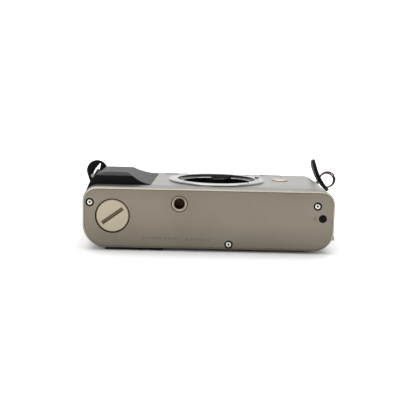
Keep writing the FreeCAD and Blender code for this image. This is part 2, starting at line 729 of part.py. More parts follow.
def strap_fittings():
    lugs = []
    for side in (-1, 1):
        axis, cross = lug_frame(side)
        across = FreeCAD.Rotation(V(0, 0, 1), cross)
        eye = rod(*lug_place(side, "lug_reach", -0.8), 2.0, 1.6, across)
        stem = lug_rod(side, 6.2, 3.2, 1.5)
        lugs.append(cut(fuse(stem, eye), rod(*lug_place(side, "lug_reach", -2), 1.3, 4, across)))
    part("strap_lugs", fuse(*lugs))

    def ring(name, x, y, z, normal):
        item = doc.addObject("Part::Torus", "Ring")
        bind(item, Radius1="ring_radius", Radius2="ring_wire")
        part(name, place(item, x, y, z, FreeCAD.Rotation(V(0, 0, 1), normal)))

    axis, cross = lug_frame(1)
    lean = math.radians(LUG_ANGLE - RING_TILT)
    x, y, z = lug_place(1, "lug_reach")
    ring("split_ring_right", x + " + ring_radius*%.9f" % math.cos(lean), y,
         z + " + ring_radius*%.9f" % math.sin(lean), V(0, 1, 0))
    x, y, z = lug_place(-1, "lug_reach")
    ring("split_ring_left", x, y + " + ring_radius", z, lug_frame(-1)[0])
    strap_tabs()


def stadium(x, y, z, along, normal, length, width, depth):
    """A slab with round ends, from a place on its near face, along two directions."""
    across = normal.cross(along)
    turn = FreeCAD.Rotation(along, across, normal, "ZXY")
    half = "((%s) - (%s))/2" % (length, width)

    def offset(text, shift, side):
        return [
            "%s + (%s)*%.9f + (%s)*%.9f" % (base, shift, part_a, side, part_b)
            for base, part_a, part_b in zip(text, along, across)
        ]
    slab = bind(doc.addObject("Part::Box", "Slab"), Length="2*" + half, Width=width, Height=depth)
    place(slab, *offset((x, y, z), "-" + half, "-(%s)/2" % width), turn)
    ends = []
    for sign in ("-", ""):
        end = bind(doc.addObject("Part::Cylinder", "End"), Radius="(%s)/2" % width, Height=depth)
        ends.append(place(end, *offset((x, y, z), sign + half, 0), turn))
    return fuse(slab, *ends)


def strap_tabs():
    # left: lies across the end of the top plate, outside its split ring
    lean = math.radians(-72)
    along = V(math.cos(lean), 0, math.sin(lean))
    centre = ("-67.5 + 4.6*%.9f" % along.x, "top_y + 3.3", "34.25 + 4.6*%.9f" % along.z)
    slit_lean = math.radians(66)
    slit = V(math.cos(slit_lean), 0, math.sin(slit_lean))
    part("strap_tab_left", cut(
        stadium(*centre, along, V(0, 1, 0), "tab_length", "tab_width", "tab_thick"),
        stadium("-67.2", "top_y + 1", "35", slit, V(0, 1, 0), 7, 1.6, 6),
    ))
    # right: bowed away from the body, with the lug and the ring through its slit
    axis, cross = lug_frame(1)
    middle = 3.2
    bow = 30.0
    mid = lug_place(1, 0, middle)
    hub = lug_place(1, 10.8 + bow, middle)
    arc = cut(
        rod(hub[0], "lug_y - 10", hub[2], bow + 1.05, 20),
        rod(hub[0], "lug_y - 10", hub[2], bow - 1.05, 20),
    )
    blank = stadium(*mid, cross, axis, "tab_length", "tab_width", 16)
    slot = stadium(*lug_place(1, 0, -1.4), cross, axis, 10.6, 4.2, 20)
    part("strap_tab_right", cut(common(arc, blank), slot))


# ---------------------------------------------------------------- build and write

for build in (
    bottom_cover, front_cover, top_cover, back_door, chassis, film_parts, shutter, lens_mount,
    bottom_fittings, grip, top_controls, finder, strap_fittings,
):
    build()
doc.recompute()

failed = [item.Name for item in doc.Objects if {"Invalid", "Error"} & set(item.State)]
if failed:
    raise RuntimeError("objects that did not compute: " + ", ".join(failed))
for item in PARTS:
    if item.Shape.isNull() or not item.Shape.isValid() or not item.Shape.Solids:
        raise RuntimeError("no valid solid in " + item.Label)

os.makedirs("parts", exist_ok=True)
for item in PARTS:
    item.Shape.exportStep("parts/%s.step" % item.Label)
print("%d sub-parts written" % len(PARTS))
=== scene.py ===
import json
import math

import bmesh
import bpy
from bpy.props import FloatProperty, FloatVectorProperty, IntProperty, PointerProperty
from mathutils import Matrix, Quaternion, Vector


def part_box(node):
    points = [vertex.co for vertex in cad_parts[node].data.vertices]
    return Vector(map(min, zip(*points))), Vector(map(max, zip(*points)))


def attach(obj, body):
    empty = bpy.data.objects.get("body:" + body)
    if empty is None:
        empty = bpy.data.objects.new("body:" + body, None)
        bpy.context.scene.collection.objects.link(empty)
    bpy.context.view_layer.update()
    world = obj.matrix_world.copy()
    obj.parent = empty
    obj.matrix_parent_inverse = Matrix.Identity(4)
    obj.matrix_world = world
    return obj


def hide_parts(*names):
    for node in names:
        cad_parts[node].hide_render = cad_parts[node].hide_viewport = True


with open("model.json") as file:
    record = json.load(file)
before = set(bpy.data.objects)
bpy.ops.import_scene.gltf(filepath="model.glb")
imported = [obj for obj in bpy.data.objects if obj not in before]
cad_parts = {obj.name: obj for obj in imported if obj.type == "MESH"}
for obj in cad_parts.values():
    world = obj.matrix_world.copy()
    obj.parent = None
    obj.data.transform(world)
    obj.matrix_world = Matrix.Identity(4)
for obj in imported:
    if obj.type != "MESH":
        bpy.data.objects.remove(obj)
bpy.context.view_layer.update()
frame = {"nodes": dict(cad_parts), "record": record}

bl_info = {
    "name": "Film camera body",
    "version": (1, 0, 0),
    "blender": (4, 5, 0),
    "location": "3D View > Sidebar > Camera",
    "description": "Finishes and fine pieces of a 35 mm film camera body",
    "category": "Object",
}

MM = 0.001
SHARP_ANGLE = math.radians(38)

# places in millimetres that the frame's pieces don't give by themselves
MOUNT_X, MOUNT_Y = 4.6, -1.6
SCREW_PLACES = ((-62.6, 25.5), (57.2, 25.7), (10.7, 4.3))
CORNER_LEAN = math.radians(28)


# ---------------------------------------------------------------- colours and nodes

def linear(hex_colour):
    """sRGB hex to the linear colour that shaders take."""
    values = [int(hex_colour[index:index + 2], 16) / 255 for index in (1, 3, 5)]
    turned = [v / 12.92 if v <= 0.04045 else ((v + 0.055) / 1.055) ** 2.4 for v in values]
    return (*turned, 1.0)


def node(tree, kind, inputs=None, **settings):
    """Add a node; an input is a value, or the socket that feeds it."""
    made = tree.nodes.new(kind)
    for key, value in settings.items():
        setattr(made, key, value)
    for key, value in (inputs or {}).items():
        if isinstance(value, bpy.types.NodeSocket):
            tree.links.new(value, made.inputs[key])
        else:
            made.inputs[key].default_value = value
    return made


def material(name):
    """A new material with an empty node tree."""
    made = bpy.data.materials.new(name)
    made.use_nodes = True
    made.node_tree.nodes.clear()
    return made, made.node_tree


def surface(tree, **inputs):
    """The Principled shader and the output; names are its sockets with underscores."""
    named = {key.replace("_", " "): value for key, value in inputs.items()}
    shader = node(tree, "ShaderNodeBsdfPrincipled", named)
    node(tree, "ShaderNodeOutputMaterial", {"Surface": shader.outputs["BSDF"]})
    return shader


def object_space(tree):
    """Places in the piece's own metres, so a pattern rides with it."""
    return node(tree, "ShaderNodeTexCoord").outputs["Object"]


def grain(tree, size_mm, detail=2.0, roughness=0.5):
    """Noise whose blobs are about size_mm across."""
    made = node(tree, "ShaderNodeTexNoise", {
        "Vector": object_space(tree), "Scale": 1 / (size_mm * MM), "Detail": detail,
        "Roughness": roughness,
    })
    return made.outputs["Fac"]


def ramp(tree, factor, stops):
    """Colours or greys that follow a factor; a stop is (place, hex, linear colour or number)."""
    made = node(tree, "ShaderNodeValToRGB", {"Fac": factor})
    elements = made.color_ramp.elements
    while len(elements) < len(stops):
        elements.new(0.5)
    for element, (place, value) in zip(elements, stops):
        if isinstance(value, str):
            value = linear(value)
        elif isinstance(value, float):
            value = (value, value, value, 1.0)
        element.position = place
        element.color = value
    return made.outputs["Color"]


def bump(tree, height, depth_mm, strength=1.0):
    """A normal from a height whose full range is depth_mm deep."""
    made = node(tree, "ShaderNodeBump", {
        "Height": height, "Distance": depth_mm * MM, "Strength": strength,
    })
    return made.outputs["Normal"]


def spread(tree, factor, low, high):
    """A factor of 0 to 1 spread from low to high."""
    made = node(tree, "ShaderNodeMapRange", {"Value": factor, "To Min": low, "To Max": high})
    return made.outputs["Result"]


def coat(tree, factor, under, over):
    """Mix of two colours by a factor."""
    made = node(tree, "ShaderNodeMix", data_type="RGBA")
    for index, value in ((0, factor), (6, under), (7, over)):
        if isinstance(value, bpy.types.NodeSocket):
            tree.links.new(value, made.inputs[index])
        else:
            made.inputs[index].default_value = value
    return made.outputs[2]


def along(tree, axis, low_mm, high_mm):
    """0 to 1 as the place along an axis runs from low to high."""
    place = node(tree, "ShaderNodeSeparateXYZ", {"Vector": object_space(tree)}).outputs[axis]
    made = node(tree, "ShaderNodeMapRange", {
        "Value": place, "From Min": low_mm * MM, "From Max": high_mm * MM,
    })
    return made.outputs["Result"]


# ---------------------------------------------------------------- materials

def champagne_titanium(name, pale, deep, rough=0.36, cover=False):
    """Titanium-coloured satin plate over bead-blasted alloy: a warm grey metal with a very
    fine grain, soft reflections and a few handling marks. As a cover it also carries painted
    shade on its face and rim, and a painted highlight along its rim."""
    made, tree = material(name)
    colour = ramp(tree, grain(tree, 38, 2, 0.5), ((0.3, deep), (0.7, pale)))
    specks = ramp(tree, grain(tree, 1.6, 4, 0.7), ((0.71, 0.0), (0.77, 1.0)))
    colour = coat(tree, specks, colour, linear("#6E675D"))
    if cover:
        # painted shade: the flat face darkens towards its resting edge by the floor; it is also a
        # little darker towards its upper edge
        colour = coat(tree, ramp(tree, along(tree, "Z", 0, 16), ((0.0, 0.42), (1.0, 0.0))),
                      colour, linear("#4E4A42"))
        colour = coat(tree, ramp(tree, along(tree, "Z", 27, 33), ((0.0, 0.0), (1.0, 0.16))),
                      colour, linear("#4E4A42"))
        # the rounded rim: a thin dark line of painted shade, a painted highlight along the edge that
        # is strongest along the top, then a darker band of painted shade
        depth = along(tree, "Y", -38.5, -37.5)
        line = ramp(tree, depth, ((0.001, 0.0), (0.004, 1.0), (0.025, 1.0), (0.035, 0.0)))
        colour = coat(tree, line, colour, linear("#4A443A"))
        # painted highlight on the rounded edge, stronger towards the upper edge
        edge = ramp(tree, depth, ((0.03, 0.0), (0.06, 1.0), (0.28, 1.0), (0.4, 0.0)))
        upper = ramp(tree, along(tree, "Z", 0, 33),
                     ((0.1, 0.05), (0.25, 0.35), (0.78, 0.35), (0.96, 1.0)))
        edge = node(tree, "ShaderNodeMath", {0: edge, 1: upper}, operation="MULTIPLY").outputs[0]
        colour = coat(tree, edge, colour, linear("#D9D0BA"))
        # painted shade: the band beyond the rim is darker
        band = ramp(tree, depth, ((0.3, 0.0), (0.45, 1.0)))
        colour = coat(tree, band, colour, linear("#77756F"))
    roughness = spread(tree, grain(tree, 5, 3), rough - 0.05, rough + 0.08)
    # the blast is finer than shows, so its grain is drawn at 0.22 mm
    normal = bump(tree, grain(tree, 0.22, 2), 0.012, 0.5)
    surface(tree, Base_Color=colour, Metallic=0.9, Roughness=roughness, Normal=normal)
    return made


def polished_steel():
    """Turned and polished stainless steel: mirror-like with faint turning lines."""
    made, tree = material("polished_stainless_steel")
    where = node(tree, "ShaderNodeVectorMath",
                 {0: object_space(tree), 1: (-MOUNT_X * MM, -MOUNT_Y * MM, 0)}, operation="ADD")
    flat = node(tree, "ShaderNodeVectorMath", {0: where.outputs[0], 1: (1, 1, 0)},
                operation="MULTIPLY")
    radius = node(tree, "ShaderNodeVectorMath", {0: flat.outputs[0]}, operation="LENGTH")
    # the turning lines are finer than shows, so they are drawn 0.2 mm apart
    lines = node(tree, "ShaderNodeTexNoise", {
        "W": radius.outputs["Value"], "Scale": 1 / (0.2 * MM), "Detail": 1.0,
    }, noise_dimensions="1D")
    roughness = spread(tree, lines.outputs["Fac"], 0.14, 0.26)
    surface(tree, Base_Color=linear("#9FA09E"), Metallic=1.0, Roughness=roughness,
            Normal=bump(tree, lines.outputs["Fac"], 0.004, 0.4))
    return made


def plain_steel(name, pale, deep, rough=0.3):
    """Plated machined steel: bright or blackened, slightly rough and blotched."""
    made, tree = material(name)
    blotch = grain(tree, 0.8, 3)
    surface(tree, Base_Color=ramp(tree, blotch, ((0.3, deep), (0.7, pale))), Metallic=1.0,
            Roughness=spread(tree, blotch, rough - 0.08, rough + 0.1),
            Normal=bump(tree, grain(tree, 0.15), 0.005, 0.5))
    return made


def moulded_rubber():
    """Moulded synthetic rubber with a fine pebble: near black, dull, paler at a low angle."""
    made, tree = material("moulded_pebbled_rubber")
    pebble = node(tree, "ShaderNodeTexVoronoi", {
        "Vector": object_space(tree), "Scale": 1 / (size_mm("pebble_size") * MM),
        "Smoothness": 0.6,
    }, feature="SMOOTH_F1")
    tone = ramp(tree, grain(tree, 9, 3), ((0.3, chosen("rubber_deep")),
                                          (0.75, chosen("rubber_pale"))))
    surface(tree, Base_Color=tone, Roughness=spread(tree, grain(tree, 3, 3), 0.34, 0.46),
            Specular_IOR_Level=0.11, Normal=bump(tree, pebble.outputs["Distance"], 0.05, 0.45))
    return made


def black_plastic():
    """Moulded ABS with a spark-eroded finish: black, satin, very fine grain."""
    made, tree = material("moulded_black_abs")
    tone = ramp(tree, grain(tree, 4), ((0.3, "#08080A"), (0.7, "#0F0F12")))
    surface(tree, Base_Color=tone, Roughness=spread(tree, grain(tree, 1.5), 0.34, 0.48),
            Specular_IOR_Level=0.07,
            Normal=bump(tree, grain(tree, 0.12), 0.008, 0.5))
    return made


def black_paint():
    """Matt black anti-reflection paint: swallows light inside the body; in the screws' sockets it is
    painted shade.
    """
    made, tree = material("matt_black_paint_and_socket_shade")
    tone = ramp(tree, grain(tree, 2), ((0.3, "#060606"), (0.7, "#0B0B0B")))
    surface(tree, Base_Color=tone, Roughness=0.82, Specular_IOR_Level=0.08,
            Normal=bump(tree, grain(tree, 0.2, 3), 0.02, 0.6))
    return made


def shutter_metal():
    """Black-coated titanium foil: dark satin metal with lengthwise rolling lines."""
    made, tree = material("coated_shutter_foil")
    stretched = node(tree, "ShaderNodeMapping", {
        "Vector": object_space(tree), "Scale": (150, 1 / (0.25 * MM), 150),
    })
    lines = node(tree, "ShaderNodeTexNoise", {"Vector": stretched.outputs[0], "Scale": 1.0})
    surface(tree, Base_Color=ramp(tree, lines.outputs["Fac"], ((0.3, "#17181A"), (0.7, "#2A2C2F"))),
            Metallic=0.7, Roughness=spread(tree, lines.outputs["Fac"], 0.38, 0.5))
    return made


def optical_glass(name, tint):
    """Coated window glass: nearly clear with a weak coloured coating, dark behind."""
    made, tree = material(name)
    sweep = grain(tree, 30, 1)
    colour = ramp(tree, sweep, ((0.3, tint), (0.7, "#0A0D14")))
    surface(tree, Base_Color=colour, Roughness=0.12, IOR=1.52, Specular_IOR_Level=0.3,
            Normal=bump(tree, sweep, 0.02, 0.1))
    return made


def black_leather():
    """Vegetable-tanned strap leather, dyed black-brown: soft pores, worn brown in patches."""
    made, tree = material("dyed_strap_leather")
    pores = node(tree, "ShaderNodeTexVoronoi", {
        "Vector": object_space(tree), "Scale": 1 / (0.5 * MM),
    }, feature="F1")
    tone = ramp(tree, grain(tree, 2.5, 4, 0.6), ((0.3, "#070403"), (0.62, "#120A07"),
                                                 (0.8, "#2C1A10")))
    surface(tree, Base_Color=tone, Roughness=spread(tree, grain(tree, 1.2), 0.5, 0.65),
            Specular_IOR_Level=0.12,
            Normal=bump(tree, pores.outputs["Distance"], 0.06, 0.6))
    return made


def foam():
    """Open-cell polyurethane foam strip: black and crumbly."""
    made, tree = material("open_cell_foam")
    surface(tree, Base_Color=ramp(tree, grain(tree, 1), ((0.3, "#0A0A0A"), (0.7, "#1A1A1A"))),
            Roughness=0.95, Normal=bump(tree, grain(tree, 0.3, 3), 0.2, 1.0))
    return made


def gold_plate():
    """Hard gold plate over brass: warm and bright."""
    made, tree = material("hard_gold_plate")
    surface(tree, Base_Color=ramp(tree, grain(tree, 0.7), ((0.3, "#8E7238"), (0.7, "#A88A4C"))),
            Metallic=1.0, Roughness=0.24)
    return made


def circuit_laminate():
    """Glass-epoxy board under green solder mask: faint copper tracks show through."""
    made, tree = material("solder_masked_laminate")
    tracks = node(tree, "ShaderNodeTexBrick", {
        "Vector": node(tree, "ShaderNodeMapping", {
            "Vector": object_space(tree), "Rotation": (math.radians(90), 0, 0),
        }).outputs[0],
        "Scale": 1 / (6 * MM), "Color1": linear("#0F3B22"), "Color2": linear("#124A2B"),
        "Mortar": linear("#2C6B43"), "Mortar Size": 0.04,
    })
    surface(tree, Base_Color=tracks.outputs["Color"], Roughness=0.3, Coat_Weight=0.4)
    return made


def printed_sleeve():
    """Shrink sleeve of a lithium cell: glossy, in two plain colours."""
    made, tree = material("cell_shrink_sleeve")
    surface(tree, Base_Color=ramp(tree, grain(tree, 14), ((0.45, "#2F4A3A"), (0.55, "#C4BFAE"))),
            Roughness=0.25)
    return made


def paint_fill(name, hex_low, hex_high, rough=0.55):
    """Engraving filled with paint: flat, slightly uneven."""
    made, tree = material(name)
    surface(tree, Base_Color=ramp(tree, grain(tree, 0.4, 3), ((0.3, hex_low), (0.7, hex_high))),
            Roughness=rough)
    return made


def make_materials():
    """One material to each finish; record slots and extra finishes share this table."""
    return {
        "titanium_shell": champagne_titanium("bead_blasted_titanium_plate", chosen("shell_pale"),
                                             chosen("shell_deep")),
        "titanium_cover": champagne_titanium("bead_blasted_cover_plate", chosen("plate_pale"),
                                             chosen("plate_deep"), cover=True),
        "champagne_fitting": champagne_titanium("turned_champagne_alloy", chosen("fitting_pale"),
                                                chosen("fitting_deep"), 0.3),
        "moulded_rubber": moulded_rubber(),
        "black_plastic": black_plastic(),
        "polished_steel": polished_steel(),
        "steel_fastener": plain_steel("zinc_plated_steel", "#E8E6E0", "#CFCCC4"),
        "blackened_steel": plain_steel("blackened_ring_steel", "#57494A", "#33292A"),
        # dark steel as painted shade: in the tripod groove, the tripod thread's bore and along the
        # coin slot's lower wall
        "dark_bore": plain_steel("painted_shade_bore_steel", "#4A3D2C", "#2A2118", 0.5),
        # darker alloy in the coin slot: painted shade
        "slot_floor": plain_steel("painted_shade_slot_alloy", "#6C6350", "#5A5242", 0.5),
        "black_alloy": black_paint(),
        "shutter_metal": shutter_metal(),
        "window_glass": optical_glass("coated_window_glass", "#151A26"),
        "black_leather": black_leather(),
        "foam": foam(),
        "motor_can": plain_steel("drawn_motor_can", "#B9B6AE", "#96938B"),
        "cell_sleeve": printed_sleeve(),
        "gold_contact": gold_plate(),
        "circuit_laminate": circuit_laminate(),
        "black_fill": paint_fill("black_engraving_paint", "#1D1A17", "#2B2723"),
        "grey_fill": paint_fill("worn_engraving_paint", "#2E2A23", "#454036"),
        "white_fill": paint_fill("white_engraving_paint", "#D8D6D0", "#EFEDE8"),
        "red_fill": paint_fill("red_index_enamel", "#A01818", "#C22A22", 0.3),
    }


MATERIALS = {}


# ---------------------------------------------------------------- mesh helpers

def add_piece(name, mesh, finish, body, replaces=()):
    """A finished piece, in metres in the frame, riding on its body."""
    piece = bpy.data.objects.new(name, mesh)
    bpy.context.scene.collection.objects.link(piece)
    mesh.materials.append(MATERIALS[finish])
    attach(piece, body)
    if replaces:
        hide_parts(*replaces)
    return piece


def smoothed(mesh):
    """Smooth shading that keeps the mesh's sharp corners."""
    for face in mesh.polygons:
        face.use_smooth = True
    mesh.set_sharp_from_angle(angle=SHARP_ANGLE)
    return mesh


def mesh_of(name, points, faces):
    """Points in millimetres and faces to a mesh with its faces turned outwards."""
    mesh = bpy.data.meshes.new(name)
    mesh.from_pydata([Vector(point) * MM for point in points], [], faces)
    work = bmesh.new()
    work.from_mesh(mesh)
    bmesh.ops.remove_doubles(work, verts=work.verts, dist=1e-7)
    bmesh.ops.recalc_face_normals(work, faces=work.faces)
    work.to_mesh(mesh)
    work.free()
    return smoothed(mesh)


def grid_faces(rows, columns, closed_rows=False, closed_columns=False):
    """Four-sided faces over rows of points, closed round one way or both."""
    faces = []
    for row in range(rows if closed_rows else rows - 1):
        for column in range(columns if closed_columns else columns - 1):
            after_row, after = (row + 1) % rows, (column + 1) % columns
            faces.append((row * columns + column, row * columns + after,
                          after_row * columns + after, after_row * columns + column))
    return faces


def turned_points(profile, centre, axis, steps, wave):
    """Rings of points for (radius, height) pairs in mm, turned about an axis through centre."""
    turn = Vector(axis).to_track_quat("Z", "Y")
    points = []
    for radius, height in profile:
        for step in range(steps):
            angle = 2 * math.pi * step / steps
            grown = radius + (wave(angle, radius, height) if wave else 0.0)
            spot = Vector((grown * math.cos(angle), grown * math.sin(angle), height))
            points.append(Vector(centre) + turn @ spot)
    return points


def lathe(name, profile, centre, axis, steps=64, wave=None):
    """A closed profile turned about an axis; wave moves each point in or out."""
    points = turned_points(profile, centre, axis, steps, wave)
    return mesh_of(name, points, grid_faces(len(profile), steps, True, True))


def fan(tip, ring, steps):
    """Triangles from a tip to a ring of points."""
    return [(tip, ring * steps + step, ring * steps + (step + 1) % steps) for step in range(steps)]


def disc_lathe(name, profile, centre, axis, steps=64, wave=None):
    """As lathe, for a profile whose two ends lie on the axis."""
    turn = Vector(axis).to_track_quat("Z", "Y")
    inner = profile[1:-1]
    points = turned_points(inner, centre, axis, steps, wave)
    faces = grid_faces(len(inner), steps, False, True)
    for ring, (_, height) in ((0, profile[0]), (len(inner) - 1, profile[-1])):
        points.append(Vector(centre) + turn @ Vector((0, 0, height)))
        faces += fan(len(points) - 1, ring, steps)
    return mesh_of(name, points, faces)


def tube(name, path, radius, sides=12):
    """A round wire along points, with domed ends."""
    points, count = [], len(path)
    guide = Vector((0, 0, 1))
    for index, spot in enumerate(path):
        ahead = path[min(index + 1, count - 1)] - path[max(index - 1, 0)]
        ahead.normalize()
        side = ahead.cross(guide)
        if side.length < 0.2:
            side = ahead.cross(Vector((0, 1, 0)))
        side.normalize()
        guide = side.cross(ahead).normalized()
        for step in range(sides):
            angle = 2 * math.pi * step / sides
            points.append(spot + (side * math.cos(angle) + guide * math.sin(angle)) * radius)
    faces = grid_faces(count, sides, False, True)
    for index, spot, outward in ((0, path[0], -1), (count - 1, path[-1], 1)):
        ahead = (path[1] - path[0]) if index == 0 else (path[-1] - path[-2])
        points.append(spot + ahead.normalized() * radius * 0.6 * outward)
        faces += fan(len(points) - 1, index, sides)
    return mesh_of(name, points, faces)


def join_meshes(name, meshes):
    """Several meshes as one."""
    work = bmesh.new()
    for mesh in meshes:
        work.from_mesh(mesh)
    joined = bpy.data.meshes.new(name)
    work.to_mesh(joined)
    work.free()
    return smoothed(joined)


def bar(name, low, high, rounding=0.04):
    """A small box with softened edges, between two corners in mm."""
    work = bmesh.new()
    bmesh.ops.create_cube(work, size=1.0)
    size = Vector(high) - Vector(low)
    middle = (Vector(high) + Vector(low)) / 2
    for vertex in work.verts:
        vertex.co = Vector(a * b for a, b in zip(vertex.co, size)) + middle
    bmesh.ops.bevel(work, geom=list(work.edges), offset=rounding, segments=2, affect="EDGES")
    bmesh.ops.scale(work, vec=(MM, MM, MM), verts=work.verts)
    mesh = bpy.data.meshes.new(name)
    work.to_mesh(mesh)
    work.free()
    return smoothed(mesh)


def figures(name, text, height_mm, place, facing, up, finish, body, depth_mm=0.04, spacing=1.0):
    """Generic figures laid on a surface: facing is the surface's normal."""
    curve = bpy.data.curves.new(name, "FONT")
    curve.body = text
    curve.size = height_mm * MM
    curve.align_x = "CENTER"
    curve.align_y = "CENTER"
    curve.space_character = spacing
    curve.extrude = depth_mm * MM
    holder = bpy.data.objects.new(name + "_curve", curve)
    bpy.context.scene.collection.objects.link(holder)
    bpy.context.view_layer.update()
    mesh = bpy.data.meshes.new_from_object(
        holder.evaluated_get(bpy.context.evaluated_depsgraph_get()))
    bpy.data.objects.remove(holder)
    bpy.data.curves.remove(curve)
    normal, upward = Vector(facing), Vector(up)
    across = upward.cross(normal)
    turn = Matrix((across, upward, normal)).transposed().to_4x4()
    mesh.transform(Matrix.Translation(Vector(place) * MM) @ turn)
    mesh.materials.clear()
    return add_piece(name, mesh, finish, body)


# ---------------------------------------------------------------- places read from the frame

def low_mm(name):
    """The low corner of a node's box in millimetres."""
    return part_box(name)[0] / MM


def high_mm(name):
    """The high corner of a node's box in millimetres."""
    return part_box(name)[1] / MM


def middle_mm(name):
    """The middle of a node's box in millimetres."""
    return (low_mm(name) + high_mm(name)) / 2


# ---------------------------------------------------------------- settings

def colour_setting(name, description, hex_colour):
    return FloatVectorProperty(name=name, description=description, subtype="COLOR", size=3,
                               default=linear(hex_colour)[:3], min=0.0, max=1.0)


def length_setting(name, description, default_mm, least_mm, most_mm):
    return FloatProperty(name=name, description=description, unit="LENGTH", precision=5,
                         default=default_mm * MM, min=least_mm * MM, max=most_mm * MM)


class CameraSettings(bpy.types.PropertyGroup):
    """Sizes and colours that a user may change."""
    leather_length: length_setting(
        "Leather length", "Length of a ring protector", 21.3, 18.0, 24.0)
    leather_thickness: length_setting(
        "Leather thickness", "Thickness of a ring protector", 2.0, 1.0, 2.2)
    ring_radius: length_setting(
        "Ring radius", "Radius of a split ring's wire line", 4.25, 3.8, 4.6)
    wire_diameter: length_setting(
        "Ring wire", "Diameter of a split ring's wire", 0.95, 0.5, 1.1)
    thread_pitch: length_setting(
        "Thread pitch", "Pitch of the tripod thread", 1.27, 0.5, 2.0)
    speed_dial_radius: length_setting(
        "Speed dial radius", "Radius of the shutter-speed dial's ridged edge", 8.6, 7.5, 8.8)
    focus_dial_radius: length_setting(
        "Focus dial radius", "Radius of the focus dial's ridged edge", 7.5, 7.1, 7.6)
    knurl_count: IntProperty(
        name="Dial ridges", description="Ridges round a dial's edge", default=60, min=20, max=90)
    mark_height: length_setting(
        "Mark height", "Height of the figures in the plate's first row", 1.55, 1.0, 2.5)
    pebble_size: length_setting(
        "Pebble size", "Distance between the grip's pebbles", 0.55, 0.2, 2.0)
    shell_pale: colour_setting("Shell, pale", "Paler tone of the titanium shell", "#979490")
    shell_deep: colour_setting("Shell, deep", "Deeper tone of the titanium shell", "#8F8C87")
    plate_pale: colour_setting("Plate, pale", "Paler tone of the bottom plate", "#877F73")
    plate_deep: colour_setting("Plate, deep", "Deeper tone of the bottom plate", "#7E7669")
    fitting_pale: colour_setting("Fittings, pale", "Paler tone of cap, bush and dials", "#B0A591")
    fitting_deep: colour_setting("Fittings, deep", "Deeper tone of cap, bush and dials", "#A69C88")
    rubber_pale: colour_setting("Grip, pale", "Paler tone of the moulded grip", "#0D0D10")
    rubber_deep: colour_setting("Grip, deep", "Deeper tone of the moulded grip", "#070709")
    floor_colour: FloatVectorProperty(
        name="Floor", description="Colour of the studio floor", subtype="COLOR", size=3,
        default=(0.92, 0.92, 0.92), min=0.0, max=1.0)
    soft_light: FloatProperty(
        name="Soft light", description="Power of the overhead softbox", unit="POWER",
        default=9.0, min=0.0)
    fill_light: FloatProperty(
        name="Fill light", description="Power of the lamp in front", unit="POWER",
        default=2.2, min=0.0)
    lens_length: FloatProperty(
        name="Lens", description="Focal length on a 36 mm wide sensor", unit="CAMERA",
        default=66.77, min=20.0, max=200.0)


def settings():
    """The camera's settings, kept on the scene."""
    return bpy.context.scene.film_camera


def size_mm(name):
    """A length setting in millimetres."""
    return round(getattr(settings(), name) / MM, 4)


def chosen(name):
    """A colour setting as a shader takes it."""
    return (*getattr(settings(), name), 1.0)


# ---------------------------------------------------------------- operators

